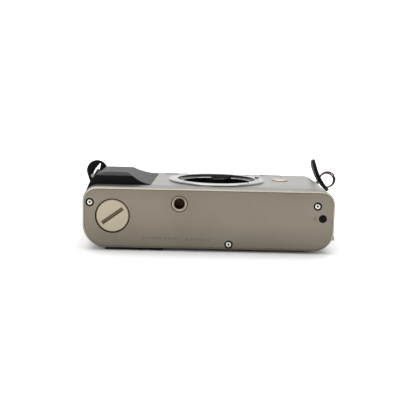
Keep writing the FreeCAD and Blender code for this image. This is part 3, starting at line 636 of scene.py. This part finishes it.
class FILMCAMERA_OT_stage(bpy.types.Operator):
    """Lay a pale floor, light it softly and set the camera in front of the bottom plate"""
    bl_idname = "film_camera.stage"
    bl_label = "Stage"

    def execute(self, context):
        scene = context.scene
        scene.view_settings.view_transform = "Standard"
        self.floor(scene)
        self.sky(scene)
        self.lamps(scene)
        self.camera(scene)
        return {"FINISHED"}

    def floor(self, scene):
        """A wide paper floor that glows more away from its middle: painted light."""
        floor_mesh = bpy.data.meshes.new("floor")
        half = 6.0
        floor_mesh.from_pydata(
            [(-half, -half, 0), (half, -half, 0), (half, half, 0), (-half, half, 0)], [],
            [(0, 1, 2, 3)])
        floor = bpy.data.objects.new("floor", floor_mesh)
        scene.collection.objects.link(floor)
        floor_mesh.materials.append(self.paper())

    def paper(self):
        """Matt white paper: flat, with a very faint mottle, and glowing more away from its middle as
        painted light.
        """
        made, tree = material("matt_white_paper")
        reach = node(tree, "ShaderNodeVectorMath", {0: object_space(tree)}, operation="LENGTH")
        # painted light: the paper glows more the farther it lies from the middle
        painted_glow = node(tree, "ShaderNodeMapRange", {
            "Value": reach.outputs["Value"], "From Min": 0.1, "From Max": 0.32, "To Max": 0.25,
        }).outputs["Result"]
        mottle = coat(tree, grain(tree, 60, 2), chosen("floor_colour"), linear("#FAFAF9"))
        surface(tree, Base_Color=mottle, Roughness=0.6, Specular_IOR_Level=0.2,
                Emission_Color=(1, 1, 1, 1), Emission_Strength=painted_glow)
        return made

    def lamps(self, scene):
        """A large softbox overhead and a weaker lamp in front, on the left."""
        for name, place, aim, size, power in (
            ("overhead_softbox", (0.0, 0.25, 1.1), (0, 0, 0), 1.2, settings().soft_light),
            ("front_fill", (-0.5, -1.0, 0.55), (0, 0, 0.02), 0.5, settings().fill_light),
        ):
            lamp = bpy.data.lights.new(name, "AREA")
            lamp.shape, lamp.size, lamp.energy = "SQUARE", size, power
            holder = bpy.data.objects.new(name, lamp)
            holder.location = place
            holder.rotation_mode = "QUATERNION"
            holder.rotation_quaternion = (Vector(aim) - Vector(place)).to_track_quat("-Z", "Y")
            scene.collection.objects.link(holder)

    def sky(self, scene):
        """A white surround, a little darker towards the side the viewer stands on."""
        world = bpy.data.worlds.new("white_surround")
        world.use_nodes = True
        tree = world.node_tree
        tree.nodes.clear()
        way = node(tree, "ShaderNodeTexCoord").outputs["Generated"]
        side = node(tree, "ShaderNodeSeparateXYZ", {"Vector": way}).outputs["Y"]
        strength = node(tree, "ShaderNodeMapRange", {
            "Value": side, "From Min": -0.6, "From Max": 0.3, "To Min": 0.6, "To Max": 1.15,
        }, interpolation_type="SMOOTHSTEP").outputs["Result"]
        light = node(tree, "ShaderNodeBackground", {"Color": (1, 1, 1, 1), "Strength": strength})
        node(tree, "ShaderNodeOutputWorld", {"Surface": light.outputs[0]})
        scene.world = world

    def camera(self, scene):
        """Low in front of the bottom plate, looking slightly down and rolled a little."""
        lens = bpy.data.cameras.new("view")
        lens.sensor_width, lens.lens = 36.0, settings().lens_length
        lens.clip_start, lens.clip_end = 0.02, 30.0
        eye = bpy.data.objects.new("view", lens)
        eye.location = Vector((-10.69, -438.36, 87.71)) * MM
        eye.rotation_mode = "QUATERNION"
        aim = Vector((0.0248, 0.9871, -0.158)).to_track_quat("-Z", "Y")
        eye.rotation_quaternion = aim @ Quaternion((0, 0, 1), math.radians(1.463))
        scene.collection.objects.link(eye)
        scene.camera = eye


class FILMCAMERA_OT_finishes(bpy.types.Operator):
    """Give every part of the frame its finish"""
    bl_idname = "film_camera.finishes"
    bl_label = "Finishes"

    def execute(self, context):
        MATERIALS.update(make_materials())
        special = {"bottom_cover": "titanium_cover", "door_latch": "titanium_shell",
                   "contact_block": "black_plastic", "rewind_button": "black_plastic"}
        for part in frame["record"]["subparts"]:
            item = frame["nodes"][part["node"]]
            finish = special.get(part["node"], part["material_slot"])
            for row in range(len(item.material_slots)):
                item.material_slots[row].material = MATERIALS[finish]
        return {"FINISHED"}


class FILMCAMERA_OT_straps(bpy.types.Operator):
    """Make the leather ring protectors and the two-turn split rings"""
    bl_idname = "film_camera.straps"
    bl_label = "Strap rings"

    def execute(self, context):
        corner = Vector((59.0, 26.5, 26.25))
        axis = Vector((math.cos(CORNER_LEAN), 0, math.sin(CORNER_LEAN)))
        cross = Vector((-math.sin(CORNER_LEAN), 0, math.cos(CORNER_LEAN)))
        bow_radius, crest = 30.0, 3.2

        def bowed(a, b, c):
            reach = 10.8 + bow_radius - math.sqrt(bow_radius ** 2 - (a - crest) ** 2)
            return corner + cross * a + Vector((0, 1, 0)) * b + axis * (reach + c)
        self.protector("ring_protector_right", bowed, (12.1, (crest, 0), 0),
                       (10.2, 3.6, (-1.4, 0), 0, True), "strap_right", "strap_tab_right")

        plane = low_mm("strap_tab_left").y + 0.9

        def nearly_flat(a, b, c):
            return Vector((a, plane + c + 0.005 * (a + 67.5) ** 2, b))
        droop = math.radians(-72)
        middle = (-67.85 + 4.6 * math.cos(droop), 33.9 + 4.6 * math.sin(droop))
        self.protector("ring_protector_left", nearly_flat, (12.8, middle, droop),
                       (8.4, 2.3, (-67.5, 34.4), math.radians(64), False),
                       "strap_left", "strap_tab_left")
        self.split_ring("right", Vector((0.18, 0.97, -0.16)).normalized(), Vector((1, 0, 0)), 1.1)
        self.split_ring("left", Vector((-axis.x, 0, axis.z)), Vector((0, 1, 0)), 0.0)
        return {"FINISHED"}

    def protector(self, name, shape, outline, slit, body, stands_for):
        """Leather with rounded edges and a slit, bent by a shape function.

        The outline is (width, middle, turn). The slit is (length, width, middle, turn, whether
        it is pointed at both ends).
        """
        width, middle, turn = outline
        slit_length, slit_width, slit_middle, slit_turn, pointed = slit
        length, edge, count = size_mm("leather_length"), 0.28, 72
        section = leather_section(edge, size_mm("leather_thickness"))
        points = []
        for kind, amount, height in section:
            inset = amount if kind == "outer" else edge
            grow = amount if kind == "inner" else edge
            for step in range(count):
                angle = 2 * math.pi * step / count
                far = stadium(angle, length - 2 * inset, width - 2 * inset)
                far = Matrix.Rotation(turn, 2) @ far + Vector(middle)
                near = spindle(angle + turn - slit_turn, slit_length + 2 * grow,
                               slit_width + 2 * grow, pointed)
                near = Matrix.Rotation(slit_turn, 2) @ near + Vector(slit_middle)
                flat = {"outer": far, "inner": near, "between": far.lerp(near, amount)}[kind]
                points.append(shape(flat.x, flat.y, height))
        mesh = mesh_of(name, points, grid_faces(len(section), count, True, True))
        add_piece(name, mesh, "black_leather", body, [stands_for])

    def split_ring(self, side, normal, first, opening):
        """Two turns of wire, side by side, crossing over once; opening springs the outer turn."""
        node_name = "split_ring_" + side
        centre, radius = middle_mm(node_name), size_mm("ring_radius")
        second = first.cross(normal).normalized()
        first = normal.cross(second)
        wire = size_mm("wire_diameter") / 2
        path, steps, last = [], 160, math.radians(22)
        for step in range(steps + 1):
            back = 4 * math.pi * (1 - step / steps)
            angle = last - back
            share = min(max((2 * math.pi - back + 0.35) / 0.7, 0.0), 1.0)
            share = share * share * (3 - 2 * share)
            # the outer turn springs open on the side away from the lug
            sprung = share * opening * (0.5 + 0.5 * math.cos(angle - math.radians(45))) ** 2
            path.append(centre + normal * (share * 2 - 1) * wire * 1.01
                        + (first * math.cos(angle) + second * math.sin(angle)) * (radius + sprung))
        mesh = tube("split_ring_wire_" + side, path, wire)
        add_piece(mesh.name, mesh, "blackened_steel", "strap_" + side,
                  [node_name])


def stadium(angle, long, wide):
    """A place on an outline with straight sides and round ends."""
    x, y = math.cos(angle), math.sin(angle)
    straight = (long - wide) / 2
    return Vector((wide / 2 * x + math.copysign(straight, x) * min(1.0, abs(x) * 6),
                   wide / 2 * y))


def spindle(angle, long, wide, pointed):
    """A place on a slit's outline: pointed at both ends, or a drop that narrows to one."""
    x, y = math.cos(angle), math.sin(angle)
    half = wide / 2 if pointed else wide / 2 * (1 - 0.6 * x)
    return Vector((long / 2 * x, half * math.copysign(abs(y) ** (1.25 if pointed else 0.7), y)))


def leather_section(edge, thick):
    """The leather's section as (kind, inset or share, height), from the outer edge under to the
    slit and back over the top."""
    layers = ((0.0, edge - thick / 2), (edge * 0.3, edge * 0.3 - thick / 2), (edge, -thick / 2))
    shares = (0.33, 0.66)
    return (
        [("outer", inset, height) for inset, height in layers]
        + [("between", share, -thick / 2) for share in shares]
        + [("inner", inset, height) for inset, height in reversed(layers)]
        + [("inner", inset, -height) for inset, height in layers]
        + [("between", share, thick / 2) for share in reversed(shares)]
        + [("outer", inset, -height) for inset, height in reversed(layers)]
    )


class FILMCAMERA_OT_grip(bpy.types.Operator):
    """Shape the moulded grip with its finger hollow and rolled edges"""
    bl_idname = "film_camera.grip"
    bl_label = "Grip"

    # the section from the left end over the crest to the finger hollow, as (x, z)
    OUTLINE = ((-66.45, 28.6), (-65.8, 30.6), (-65.0, 32.6), (-63.7, 35.4), (-61.9, 37.7),
               (-60.2, 38.9), (-57.8, 39.6), (-55.0, 39.8), (-50.0, 39.85), (-44.8, 39.8),
               (-43.1, 39.4), (-41.5, 38.6), (-39.6, 37.2), (-37.2, 35.75), (-34.9, 34.8),
               (-33.0, 34.3), (-31.9, 34.15), (-31.4, 33.84))
    # how far in from each end a row lies and how far its height drops; None lies on the shell
    ENDS = ((0.0, None), (0.0, -0.5), (0.08, -0.22), (0.3, -0.06), (0.6, 0.0))
    BODY_ROWS = 60

    def execute(self, context):
        low, high = low_mm("grip").y, high_mm("grip").y
        profile = smooth_path(self.OUTLINE, 72)
        stations = self.stations(low, high)
        points, under_points = [], []
        for y, drop in stations:
            for x, z in profile:
                x = self.slant(x, y, low, high)
                base = skin_point(x, z)
                under_points.append((base[0], y, base[1]))
                if drop is None:
                    points.append(under_points[-1])
                    continue
                height = self.ceiling(y, low, high) + drop
                share = min(1.0, max(0.0, (z - 33.8) / 3.0))
                points.append((x, y, soft_least(z + drop * share, height, 0.3)))
        faces = grid_faces(len(stations), len(profile))
        # the underside follows the shell, so the piece is closed
        under, count = len(points), len(profile)
        faces += [tuple(index + under for index in face) for face in faces]
        for row in range(len(stations) - 1):
            for column in (0, count - 1):
                a, b = row * count + column, (row + 1) * count + column
                faces.append((a, b, b + under, a + under))
        mesh = mesh_of("moulded_grip", points + under_points, faces)
        add_piece("moulded_grip", mesh, "moulded_rubber", "body", ["grip"])
        return {"FINISHED"}

    def stations(self, low, high):
        """Rows along the grip as (y, drop), close together where both ends roll over."""
        margin = self.ENDS[-1][0]
        step = (high - low - 2 * margin) / self.BODY_ROWS
        rows = [(low + inset, drop) for inset, drop in self.ENDS]
        rows += [(low + margin + step * row, 0.0) for row in range(1, self.BODY_ROWS)]
        rows += [(high - inset, drop) for inset, drop in reversed(self.ENDS)]
        return rows

    def slant(self, x, y, low, high):
        """The side beside the mount leans outwards towards the top plate, its crest inwards."""
        stops = ((-66.5, 0.0), (-63.7, 0.8), (-60.0, 2.4), (-56.0, 2.4), (-53.0, 0.0),
                 (-44.8, -4.7), (-38.9, -3.3), (-31.4, 2.2))
        shift = 0.0
        for (left, before), (right, after) in zip(stops, stops[1:]):
            if x >= left:
                share = min(1.0, (x - left) / (right - left))
                shift = before + (after - before) * share
        return x + shift * (y - low) / (high - low)

    def ceiling(self, y, low, high):
        """The grip's height along the body: a flat bevel, a long level, a slow fall."""
        bevel = 38.35 + 1.45 * (y - low) / 4.9
        fall = min(1.0, max(0.0, (y - (high - 22.0)) / 22.0))
        return soft_least(bevel, 39.85 - 2.3 * fall ** 1.3, 0.12)


def smooth_path(points, count):
    """Even steps along a curve through the points."""
    curve = []
    ends = [points[0], *points, points[-1]]
    for index in range(1, len(ends) - 2):
        p0, p1, p2, p3 = (Vector(ends[index + shift]) for shift in (-1, 0, 1, 2))
        for step in range(12):
            s = step / 12
            curve.append(0.5 * (2 * p1 + (p2 - p0) * s + (2 * p0 - 5 * p1 + 4 * p2 - p3) * s * s
                                + (3 * p1 - p0 - 3 * p2 + p3) * s ** 3))
    curve.append(Vector(points[-1]))
    lengths = [0.0]
    for a, b in zip(curve, curve[1:]):
        lengths.append(lengths[-1] + (b - a).length)
    result, row = [], 0
    for step in range(count):
        want = lengths[-1] * step / (count - 1)
        while row < len(lengths) - 2 and lengths[row + 1] < want:
            row += 1
        share = (want - lengths[row]) / max(lengths[row + 1] - lengths[row], 1e-9)
        result.append(tuple(curve[row].lerp(curve[row + 1], min(max(share, 0.0), 1.0))))
    return result


def skin_point(x, z):
    """The nearest place on the shell's front left corner and front face, just above it."""
    corner_x, corner_z, radius = -59.0, 26.25, 7.52
    if x >= corner_x:
        return x, corner_z + radius
    way = Vector((x - corner_x, z - corner_z)).normalized()
    return corner_x + way.x * radius, corner_z + way.y * radius


def soft_least(a, b, round_mm):
    """The smaller of two heights, blended over a few tenths."""
    share = min(1.0, max(0.0, 0.5 + 0.5 * (b - a) / round_mm))
    return b * (1 - share) + a * share - round_mm * share * (1 - share)


class FILMCAMERA_OT_bottom_fittings(bpy.types.Operator):
    """Make the plate's screws, the tripod thread and the engraved marks"""
    bl_idname = "film_camera.bottom_fittings"
    bl_label = "Bottom fittings"

    def execute(self, context):
        y = low_mm("bottom_cover").y
        self.screws(y)
        self.thread(y)
        self.marks(y)
        self.coin_slot()
        return {"FINISHED"}

    def screws(self, y):
        """Pan heads with a hexagon socket, each in its black washer."""
        head = ((0, 0.9), (0.55, 0.9), (0.57, 0.5), (0.59, 0.1), (0.66, 0.04), (1.15, 0.03),
                (1.32, 0.12), (1.36, 0.3), (1.36, 1.2), (0, 1.2))
        socket = ((0, 0.25), (0.57, 0.25), (0.57, 0.8), (0, 0.8))
        washer = ((1.36, 0.5), (1.45, 0.3), (2.14, 0.3), (2.24, 0.35), (2.24, 1.2), (1.36, 1.2))
        for name, turned, profile, steps, finish, slot, stands_for in (
            ("screw_heads", disc_lathe, head, 40, "steel_fastener", "steel_fastener",
             ["cover_screws"]),
            ("screw_washers", lathe, washer, 40, "black_alloy", "black_plastic", ()),
            # the sockets are black hexagons set in the heads' hollows: painted shade
            ("screw_sockets", disc_lathe, socket, 6, "black_alloy", "black_plastic", ()),
        ):
            meshes = [turned(name, profile, (x, y, z), (0, 1, 0), steps)
                      for x, z in SCREW_PLACES]
            add_piece(name, join_meshes(name, meshes), finish, "body", stands_for)

    def thread(self, y):
        """The tripod bush with its thread cut into the wall."""
        centre = middle_mm("tripod_bush")
        pitch = size_mm("thread_pitch")
        ring = lathe("tripod_ring", (
            (4.9, 1.4), (4.24, 1.35), (4.24, 0.6), (3.98, 0.6), (3.95, 0.1), (3.8, 0.0),
            (3.5, 0.0), (2.9, 0.5), (2.85, 0.9), (2.85, 6.6), (4.9, 6.6),
        ), (centre.x, y, centre.z), (0, 1, 0), 56)
        add_piece("tripod_ring", ring, "champagne_fitting", "body",
                  ["tripod_bush"])
        # a dark ring laid in the gap round the bush: painted shade
        groove = lathe("tripod_groove_painted_shade", ((3.97, 0.3), (3.97, -0.004), (4.4, -0.004), (4.4, 0.3)),
                       (centre.x, y, centre.z), (0, 1, 0), 56)
        add_piece("tripod_groove_painted_shade", groove, "dark_bore", "body")
        profile = [(2.95, 7.0), (2.9, 0.8), (2.75, 0.7)]
        for turn in range(int(5.2 / pitch)):
            start = 0.9 + turn * pitch
            profile += [(2.5, start), (2.5, start + 0.16), (2.82, start + pitch / 2 + 0.02),
                        (2.5, start + pitch - 0.16)]
        profile += [(2.5, 6.0), (0.55, 6.0), (0.5, 6.9), (0.01, 6.9), (0.01, 7.0)]
        # the thread's bore is dark steel: painted shade
        mesh = lathe("tripod_thread", profile, (centre.x, y, centre.z), (0, 1, 0), 56)
        add_piece("tripod_thread", mesh, "dark_bore", "body")

    def coin_slot(self):
        """The coin slot's floor, darkened as painted shade and deepest at its middle as a round
        cutter leaves it, and a painted shadow along its lower wall."""
        low, centre = low_mm("battery_cap").y, middle_mm("battery_cap")
        turn, half_length, rows = math.radians(36), 6.75, 25
        length_way = Vector((math.cos(turn), 0, math.sin(turn)))
        width_way = Vector((-math.sin(turn), 0, math.cos(turn)))
        # the floor's darker alloy is painted shade; the dark strip along the lower wall is a painted
        # shadow
        for name, lower, upper, depth, finish in (
            ("coin_slot_floor", -0.97, 0.97, 0.62, "slot_floor"),
            ("coin_slot_painted_shadow", -0.98, -0.6, 0.55, "dark_bore"),
        ):
            points = []
            for row in range(rows):
                reach = half_length * (2 * row / (rows - 1) - 1)
                floor = depth - 0.5 * (reach / half_length) ** 4
                for side, down in ((lower, floor), (lower, 0.78), (upper, 0.78), (upper, floor)):
                    points.append(Vector((centre.x, low + down, centre.z)) + length_way * reach
                                  + width_way * side)
            last = 4 * (rows - 1)
            faces = grid_faces(rows, 4, False, True)
            faces += [(0, 1, 2, 3), (last, last + 1, last + 2, last + 3)]
            add_piece(name, mesh_of(name, points, faces), finish, "battery_cap")

    def marks(self, y):
        """Shallow filled marks in plain shapes: two rows of noughts and a small sign."""
        for name, text, height, place, spacing in (
            ("plate_row", "000000 00000", size_mm("mark_height"), (-24.9, y - 0.005, 7.0), 2.2),
            ("plate_number", "000000", 1.9, (-5.6, y - 0.005, 6.5), 2.35),
        ):
            figures(name, text, height, place, (0, -1, 0), (0, 0, 1), "grey_fill", "body", 0.012,
                    spacing)
        proud, back = y - 0.015, y + 0.1
        strokes = [bar("stroke", (55.2, proud, z), (56.8, back, z + 0.25)) for z in (17.9, 20.05)]
        strokes += [bar("stroke", (left, proud, 18.5), (right, back, 19.7))
                    for left, right in ((55.2, 55.45), (55.85, 56.15), (56.55, 56.8))]
        add_piece("rewind_sign", join_meshes("rewind_sign", strokes), "grey_fill", "body")


class FILMCAMERA_OT_mount(bpy.types.Operator):
    """Add the contact pins, index dots and front marks round the lens mount"""
    bl_idname = "film_camera.mount"
    bl_label = "Lens mount"

    def execute(self, context):
        middle, top = middle_mm("contact_block"), high_mm("contact_block").z
        pin_spacing, pin = 1.45, ((0, -0.8), (0.3, -0.8), (0.3, 0.1), (0.2, 0.16), (0, 0.18))
        pins = [
            disc_lathe("pin", pin, (middle.x + (row - 3) * pin_spacing, middle.y, top),
                       (0, 0, 1), 20)
            for row in range(7)
        ]
        add_piece("contact_pins", join_meshes("contact_pins", pins), "gold_contact", "body")
        self.tongues()
        top, out = high_mm("mount_ring").z, 17.2
        dot = disc_lathe("index", ((0, -0.2), (0.75, -0.2), (0.75, 0.0), (0.6, 0.03), (0, 0.04)),
                         (MOUNT_X - out, MOUNT_Y + out * 0.98, top), (0, 0, 1), 24)
        add_piece("mount_index", dot, "red_fill", "body")
        face = high_mm("front_cover").z
        figures("front_marks", "0000000000", 2.3, (44.4, -20.6, face + 0.005), (0, 0, 1),
                (0, 1, 0), "grey_fill", "body", 0.012, 1.8)
        return {"FINISHED"}

    def tongues(self):
        """The three bayonet tongues under the flange, bright arcs in the dark throat."""
        ring = middle_mm("mount_ring")
        high = low_mm("mount_ring").z + 0.9
        section = ((21.9, 0.0), (20.0, 0.0), (19.8, 0.2), (19.8, 0.75), (20.0, 0.95), (21.9, 0.95))
        count, sides = 28, len(section)
        arcs = []
        for start, end in ((97, 178), (-4, 62), (222, 300)):
            points = []
            for step in range(count + 1):
                angle = math.radians(start + (end - start) * step / count)
                points += [(ring.x + radius * math.cos(angle), ring.y + radius * math.sin(angle),
                            high - down) for radius, down in section]
            faces = grid_faces(count + 1, sides, False, True)
            faces += [tuple(range(sides)), tuple(range(count * sides, (count + 1) * sides))]
            arcs.append(mesh_of("tongue", points, faces))
        add_piece("bayonet_tongues", join_meshes("bayonet_tongues", arcs), "polished_steel",
                  "body", ["bayonet_springs"])


class FILMCAMERA_OT_top_controls(bpy.types.Operator):
    """Cut the dials' ridges and fill their figures"""
    bl_idname = "film_camera.top_controls"
    bl_label = "Top controls"

    def execute(self, context):
        ridges, ridge_depth = settings().knurl_count, 0.11

        def ridged(angle, radius, height):
            if radius < 7.0 or height < 0.45:
                return 0.0
            return ridge_depth * (math.cos(angle * ridges) - 1)
        for name, node_name, body, radius, thick in (
            ("speed_dial_cap", "shutter_speed_dial", "speed_dial",
             size_mm("speed_dial_radius"), 3.6),
            ("focus_dial_cap", "focus_dial", "focus_dial", size_mm("focus_dial_radius"), 3.4),
        ):
            high, centre = high_mm(node_name).y, middle_mm(node_name)
            base = high - thick
            mesh = disc_lathe(name, (
                (0, -5.4), (1.95, -5.4), (1.95, 0), (radius - 0.5, 0), (radius, 0.5),
                (radius, thick - 0.6), (radius - 0.45, thick - 0.12), (radius - 0.9, thick),
                (radius - 2.6, thick - 0.05), (radius - 3.0, thick - 0.35), (0, thick - 0.3),
            ), (centre.x, base, centre.z), (0, 1, 0), ridges * 6, ridged)
            add_piece(name, mesh, "champagne_fitting", body, [node_name])
        self.figures_round("shutter_speed_dial", "speed_dial",
                           ("4000", "2000", "1000", "500", "250", "125", "60", "30", "15", "8", "4"),
                           6.75, 1.1)
        self.figures_round("focus_dial", "focus_dial", ("1", "2", "3", "5", "8"), 5.7, 1.1)
        self.counter()
        return {"FINISHED"}

    def figures_round(self, node_name, body, labels, radius, size):
        """Labels set round a dial's top, each with its foot towards the middle."""
        high, centre = high_mm(node_name).y, middle_mm(node_name)
        for row, label in enumerate(labels):
            angle = math.radians(200 - 28 * row)
            out = Vector((math.cos(angle), 0, math.sin(angle)))
            figures("%s_figure_%d" % (body, row), label, size,
                    Vector((centre.x, high + 0.005, centre.z)) + out * radius, (0, 1, 0), out,
                    "black_fill", body, 0.01)

    def counter(self):
        """The frame counter's two figures, upright for the user."""
        high, centre = high_mm("frame_counter"), middle_mm("frame_counter")
        figures("frame_figures", "36", 5.2, (centre.x, high.y + 0.01, centre.z), (0, 1, 0),
                (0, 0, 1), "white_fill", "body", 0.01)


class FILMCAMERA_PT_panel(bpy.types.Panel):
    """The camera's sizes and pieces"""
    bl_label = "Film camera"
    bl_idname = "FILMCAMERA_PT_panel"
    bl_space_type = "VIEW_3D"
    bl_region_type = "UI"
    bl_category = "Camera"

    def draw(self, context):
        for key in CameraSettings.__annotations__:
            self.layout.prop(context.scene.film_camera, key)
        for operator in OPERATORS:
            self.layout.operator(operator.bl_idname)


OPERATORS = (
    FILMCAMERA_OT_stage, FILMCAMERA_OT_finishes, FILMCAMERA_OT_grip, FILMCAMERA_OT_straps,
    FILMCAMERA_OT_bottom_fittings, FILMCAMERA_OT_mount, FILMCAMERA_OT_top_controls,
)


def register():
    for item in (CameraSettings, *OPERATORS, FILMCAMERA_PT_panel):
        bpy.utils.register_class(item)
    bpy.types.Scene.film_camera = PointerProperty(type=CameraSettings)


def unregister():
    del bpy.types.Scene.film_camera
    for item in (FILMCAMERA_PT_panel, *reversed(OPERATORS), CameraSettings):
        bpy.utils.unregister_class(item)


def main():
    register()
    bpy.ops.film_camera.stage()
    bpy.ops.film_camera.finishes()
    bpy.ops.film_camera.grip()
    bpy.ops.film_camera.straps()
    bpy.ops.film_camera.bottom_fittings()
    bpy.ops.film_camera.mount()
    bpy.ops.film_camera.top_controls()


if __name__ == "__main__":
    main()
